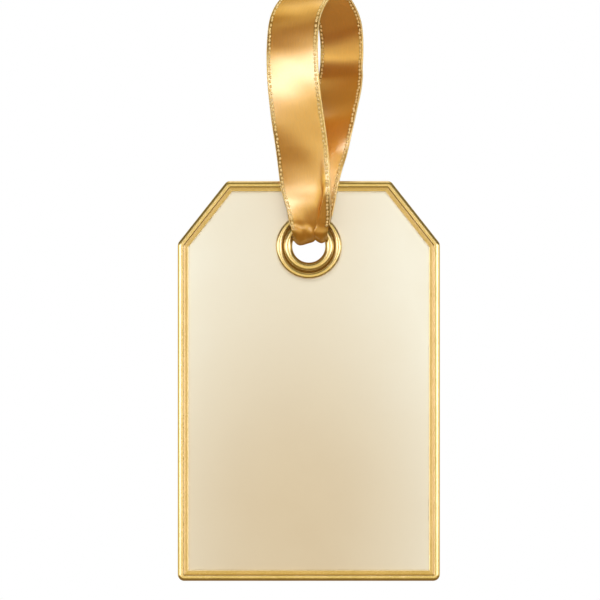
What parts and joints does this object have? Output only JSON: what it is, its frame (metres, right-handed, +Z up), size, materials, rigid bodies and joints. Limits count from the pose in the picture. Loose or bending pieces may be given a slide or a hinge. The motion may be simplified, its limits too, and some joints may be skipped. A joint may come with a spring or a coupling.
{
  "type": "gift tag",
  "caption": "Upright gift tag of champagne card with cut top corners, gold bead rim and gold eyelet, hung on a loop of gold satin ribbon knotted behind it.",
  "frame": {"origin": "hanging point on the inside of the ribbon loop's crown, above the eyelet", "axes": "+Z up, +X to the right across the card, -Y out of the card's front"},
  "size_m": [0.05, 0.0227, 0.1128],
  "materials": {
    "champagne_card": "champagne pearl, satin",
    "grey_board": "matt",
    "gold_metal": "polished gold plate",
    "gold_satin": "satin weave with stitched edges"
  },
  "bodies": {
    "hanger": {"ribbon_loop": "gold_satin"},
    "gather": {"ribbon_neck": "gold_satin", "ribbon_knot": "gold_satin", "ribbon_tail_left": "gold_satin", "ribbon_tail_right": "gold_satin"},
    "tag": {"core_board": "grey_board", "front_panel": "champagne_card", "back_panel": "champagne_card", "edge_rim": "gold_metal", "inner_bead": "gold_metal", "eyelet_washer": "gold_metal", "eyelet_barrel": "gold_metal"}
  },
  "joints": [
    {"name": "ribbon_fold", "type": "hinge", "parent": "hanger", "child": "gather", "pos_m": [0, -0.00263, -0.0461], "axis": [-1, 0, 0], "range_deg": [0, 140]},
    {"name": "tag_swing", "type": "hinge", "parent": "gather", "child": "tag", "pos_m": [0, 0, -0.0486], "axis": [0, -1, 0], "range_deg": [-45, 45]}
  ]
}
